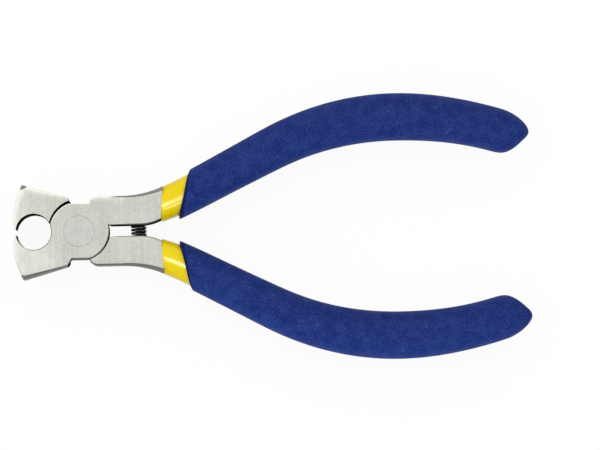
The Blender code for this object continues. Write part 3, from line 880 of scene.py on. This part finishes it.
GRIP_FRONT = 0.0238
GRIP_SQUARENESS = 2.5
GRIP_SLANT = math.radians(38.0)
GRIP_BORE = (0.00385, 0.0042)
GRIP_BORE_END = SLEEVE_END + BORE_CLEARANCE
GRIP_RIM = (0.0045, 0.0050)
GRIP_HALF_HEIGHT = 0.0052
GRIP_CROWN_HALF_WIDTH = 0.00533
GRIP_TAIL_HALF_WIDTH = 0.0049
CROWN_TOP = PATH_LENGTH - TAIL_LENGTH
NOSE_LENGTH = 0.0061
NOSE_CAP = (0.0013, 0.0016)
NOSE_LEAN = math.radians(31.0)
NOSE_DROP = 0.0009
NOSE_ROUNDNESS = 0.5
NOSE_STEPS = 9
CAP_SHARES = (0.8, 0.45)  # sizes of the rings that close the nose, as shares of its cap
CAP_BULGE = 0.00004
BLUE = (0.0048, 0.0155, 0.112, 1)
BLUE_PALE = (0.015, 0.034, 0.165, 1)
FOAM_SPECK = (0.12, 0.15, 0.32, 1)
FOAM_DEPTH = 0.00003
FOAM_PATCH_SCALE = 420.0
FOAM_PORE_SCALE = 2400.0
FOAM_PORE_DETAIL = 2.0
FOAM_PORE_SHARE = 0.6  # in the foam's tone, the rest being its patches'
FOAM_CELL_SCALE = 950.0
SPECK_SIZE = (0.06, 0.13)  # in the middle of a cell
SPECK_PATCHES = (0.5, 0.58)  # the specks keep to the palest patches
SPECK_STRENGTH = 0.8
SPECK_HEIGHT = 0.5
FOAM_ROUGHNESS = (0.55, 0.75)
FOAM_SHINE = 0.08
LIP_ROUGHNESS = (0.6, 0.8)
LIP_SHINE = 0.1
# The lip's faces are drawn dark: painted shade along the rim where it meets the sleeve.
LIP_SHADE = (0.001, 0.004, 0.03, 1)
LIP_DEPTH = 0.0007
LIP_MIDDLE = on_handle(GRIP_FRONT, 0.0)
LIP_ACROSS = on_handle(GRIP_FRONT + GRIP_BORE[0] * math.tan(GRIP_SLANT), GRIP_BORE[0]) - LIP_MIDDLE
LIP_AXIS = Vector((-LIP_ACROSS.y, LIP_ACROSS.x)).normalized()  # square to the lip, out of the grip


def eased(first, last, share):
    """A smooth change from the first value to the last as the share goes from 0 to 1."""
    share = min(1.0, max(0.0, share))
    return first + (last - first) * share * share * (3 - 2 * share)


def grip_half_width(distance):
    if distance < CROWN_TOP:
        to_crown = (distance - GRIP_FRONT) / (CROWN_TOP - GRIP_FRONT)
        return eased(GRIP_RIM[0], GRIP_CROWN_HALF_WIDTH, to_crown)
    to_tail = (distance - CROWN_TOP) / (PATH_LENGTH - CROWN_TOP)
    return eased(GRIP_CROWN_HALF_WIDTH, GRIP_TAIL_HALF_WIDTH, to_tail)


def nose_share(distance):
    return min(1.0, max(0.0, (distance - PATH_LENGTH) / NOSE_LENGTH))


def grip_lean(distance, side):
    nose = side * math.tan(NOSE_LEAN * nose_share(distance) ** 2)
    return slanted(GRIP_SLANT, GRIP_FRONT, GRIP_RIM[0])(distance, side) + nose


def grip_drop(distance):
    return NOSE_DROP * nose_share(distance) ** 2


def nose_ring(share):
    rounding = (1 - share**2) ** NOSE_ROUNDNESS
    width, height = (
        cap + (full - cap) * rounding
        for cap, full in zip(NOSE_CAP, (grip_half_width(PATH_LENGTH), GRIP_HALF_HEIGHT))
    )
    return PATH_LENGTH + NOSE_LENGTH * share, width, height


def grip_mesh():
    lip_end = GRIP_FRONT + RING_STEP
    inside = [(s, *GRIP_BORE) for s in spaced(GRIP_BORE_END, lip_end)]
    rim = rolled_rim(GRIP_FRONT, GRIP_BORE, GRIP_RIM)
    outside = [(s, grip_half_width(s), GRIP_HALF_HEIGHT) for s in spaced(lip_end, PATH_LENGTH)]
    nose = [nose_ring(math.sin(math.pi / 2 * i / NOSE_STEPS)) for i in range(1, NOSE_STEPS + 1)]
    cap = [
        (PATH_LENGTH + NOSE_LENGTH + CAP_BULGE * (1 - share), NOSE_CAP[0] * share, NOSE_CAP[1] * share)
        for share in CAP_SHARES
    ]
    return along_handle(inside + rim + outside + nose + cap, GRIP_SQUARENESS, grip_lean, grip_drop)


def blue_foam(place):
    patches = noise(place, FOAM_PATCH_SCALE)
    pores = noise(place, FOAM_PORE_SCALE, FOAM_PORE_DETAIL)
    cells = place.node("ShaderNodeTexVoronoi", {}, {"Vector": place, "Scale": FOAM_CELL_SCALE}, "Distance")
    specks = (1 - rising(cells, *SPECK_SIZE)) * rising(patches, *SPECK_PATCHES)
    tone = patches * (1 - FOAM_PORE_SHARE) + pores * FOAM_PORE_SHARE
    blue = between(rising(tone, *MIDDLE), BLUE, BLUE_PALE)
    return {
        "Base Color": between(specks * SPECK_STRENGTH, blue, FOAM_SPECK),
        "Roughness": ranged(pores, *FOAM_ROUGHNESS),
        "Normal": bumps(pores + specks * SPECK_HEIGHT, FOAM_DEPTH),
    }


# Painted shade on the lip's faces.
def shaded_lip(place):
    pores = noise(place, FOAM_PORE_SCALE, FOAM_PORE_DETAIL)
    return {
        "Base Color": between(pores, LIP_SHADE, BLUE),
        "Roughness": ranged(pores, *LIP_ROUGHNESS),
        "Normal": bumps(pores, FOAM_DEPTH),
    }


grips = bpy.data.collections.new("grips")  # lit by a lamp of their own
grip = grip_mesh()
# Faces within LIP_DEPTH of the lip take the painted shade.
for face in grip.polygons:
    face.material_index = int((face.center.xy - LIP_MIDDLE).dot(LIP_AXIS) > -LIP_DEPTH)
foam_and_lip_shade = [
    finish("matte blue foam", {"Specular IOR Level": FOAM_SHINE}, blue_foam),
    finish("painted shade on the foam's lip", {"Specular IOR Level": LIP_SHINE}, shaded_lip),
]
for side, turn in HALVES.items():
    piece = smoothed(set_down(f"{side}_grip_foam", grip.copy(), turn, foam_and_lip_shade))
    grips.objects.link(piece)
    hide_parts(f"{side}_outer_grip")
    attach(piece, f"{side}_half")


# Table, light and camera
# A plain white table under a soft white tent that is brightest behind and darkest in front. Lamps for the
# handles alone draw the stripes on the glossy sleeves and fill the handles' front sides. The camera looks
# almost straight down, from a little to the front.

TABLE_RADIUS = 3.0
TABLE_WHITE = (0.97, 0.97, 0.97, 1)
TABLE_GLOW = 0.93  # how much of the table's seen white is its own
TENT_ROOF = 0.985
TENT_BACK = 1.4
TENT_FRONT = 0.06
TENT_WHITE = (1, 1, 1, 1)
TENT_BACK_SIDE = (-0.5, 0.86, 0.0)  # where the tent's bright wall stands
BACK_WALL_START = (0.08, 0.35)  # backward shares of a direction between which the bright wall sets in
BACK_WALL_TOP = (0.84, 0.95)  # and upward shares between which it gives way to the roof
FRONT_WALL_START = (-0.8, -0.35)  # the same for the dark wall
FRONT_WALL_TOP = (0.4, 0.65)
FRONT = (0.0, -0.9, 0.44)
HANDLE_LAMPS = (  # name, what it lights, direction from the tool, width, power, whether gloss shows it
    ("upper_stripe_lamp", sleeves, (0.087, -0.32, 0.943), 0.055, 0.5, True),
    ("lower_stripe_lamp", sleeves, (-0.086, -0.075, 0.993), 0.085, 1.0, True),
    ("sleeve_fill_lamp", sleeves, FRONT, 0.3, 0.5, False),
    ("grip_fill_lamp", grips, FRONT, 0.3, 2.4, False),
)
LAMP_DISTANCE = 0.6
IMAGE_WIDTH = 600
FOCAL_PIXELS = 4731
SENSOR_WIDTH = 36.0
CAMERA_DISTANCE = 1.05
CAMERA_ELEVATION = math.radians(87.4)
CAMERA_ROLL = math.radians(-1.1)
CAMERA_AIM = PIVOT + Vector((0.04888, 0.00061, 0.0))


def seen_directly(tree):
    """Three signals, 1 for rays from the camera, off gloss and through glass, and 0 for other rays."""
    path = tree.nodes.new("ShaderNodeLightPath")
    names = ("Is Camera Ray", "Is Glossy Ray", "Is Transmission Ray")
    return [Signal(path.outputs[name]) for name in names]


def table_material():
    material = bpy.data.materials.new("white table")
    material.use_nodes = True
    tree = material.node_tree
    tree.nodes.clear()
    output = tree.nodes.new("ShaderNodeOutputMaterial")
    camera, glossy, through = seen_directly(tree)
    matt = camera.node("ShaderNodeBsdfDiffuse", {}, {"Color": TABLE_WHITE})
    glow = camera.node("ShaderNodeEmission", {}, {})
    share = (camera + glossy + through) * TABLE_GLOW
    mixed = share.node("ShaderNodeMixShader", {}, {"Fac": share, 1: matt, 2: glow})
    tree.links.new(mixed.socket, output.inputs["Surface"])
    return material


def light_tent():
    world = bpy.data.worlds.new("light tent")
    world.use_nodes = True
    tree = world.node_tree
    direction = Signal(tree.nodes.new("ShaderNodeTexCoord").outputs["Generated"])
    camera, _, _ = seen_directly(tree)
    height = axis(direction, "Z")
    backward = direction.node("ShaderNodeVectorMath", {"operation": "DOT_PRODUCT"},
                              {0: direction, 1: TENT_BACK_SIDE}, "Value")
    back_wall = rising(backward, *BACK_WALL_START) * (1 - rising(height, *BACK_WALL_TOP))
    front_wall = (1 - rising(backward, *FRONT_WALL_START)) * (1 - rising(height, *FRONT_WALL_TOP))
    level = TENT_ROOF + (TENT_BACK - TENT_ROOF) * back_wall + (TENT_FRONT - TENT_ROOF) * front_wall
    level = level * (1 - camera) + camera
    tree.links.new(level.socket, tree.nodes["Background"].inputs["Strength"])
    tree.nodes["Background"].inputs["Color"].default_value = TENT_WHITE
    bpy.context.scene.world = world


table_bm = bmesh.new()
bmesh.ops.create_circle(table_bm, cap_ends=True, radius=TABLE_RADIUS, segments=TURN_STEPS)
table = bpy.data.objects.new("table", finished(table_bm))
table.data.materials.append(table_material())
bpy.context.collection.objects.link(table)
light_tent()
for name, lit, direction, width, power, in_gloss in HANDLE_LAMPS:
    lamp = bpy.data.lights.new(name, "AREA")
    lamp.shape = "DISK"
    lamp.size = width
    lamp.energy = power
    holder = bpy.data.objects.new(name, lamp)
    holder.location = CAMERA_AIM + Vector(direction).normalized() * LAMP_DISTANCE
    holder.rotation_euler = Vector(direction).to_track_quat("Z", "Y").to_euler()
    holder.visible_camera = False
    holder.visible_glossy = in_gloss
    holder.light_linking.receiver_collection = lit
    bpy.context.collection.objects.link(holder)

lens = bpy.data.cameras.new("camera")
lens.sensor_width = SENSOR_WIDTH
lens.lens = FOCAL_PIXELS / IMAGE_WIDTH * SENSOR_WIDTH
camera = bpy.data.objects.new("camera", lens)
back = Vector((0, -math.cos(CAMERA_ELEVATION), math.sin(CAMERA_ELEVATION)))
turn = back.to_track_quat("Z", "Y").to_matrix().to_4x4() @ Matrix.Rotation(CAMERA_ROLL, 4, "Z")
camera.matrix_world = Matrix.Translation(CAMERA_AIM + CAMERA_DISTANCE * back) @ turn
bpy.context.collection.objects.link(camera)
bpy.context.scene.camera = camera
bpy.context.scene.view_settings.view_transform = "Standard"
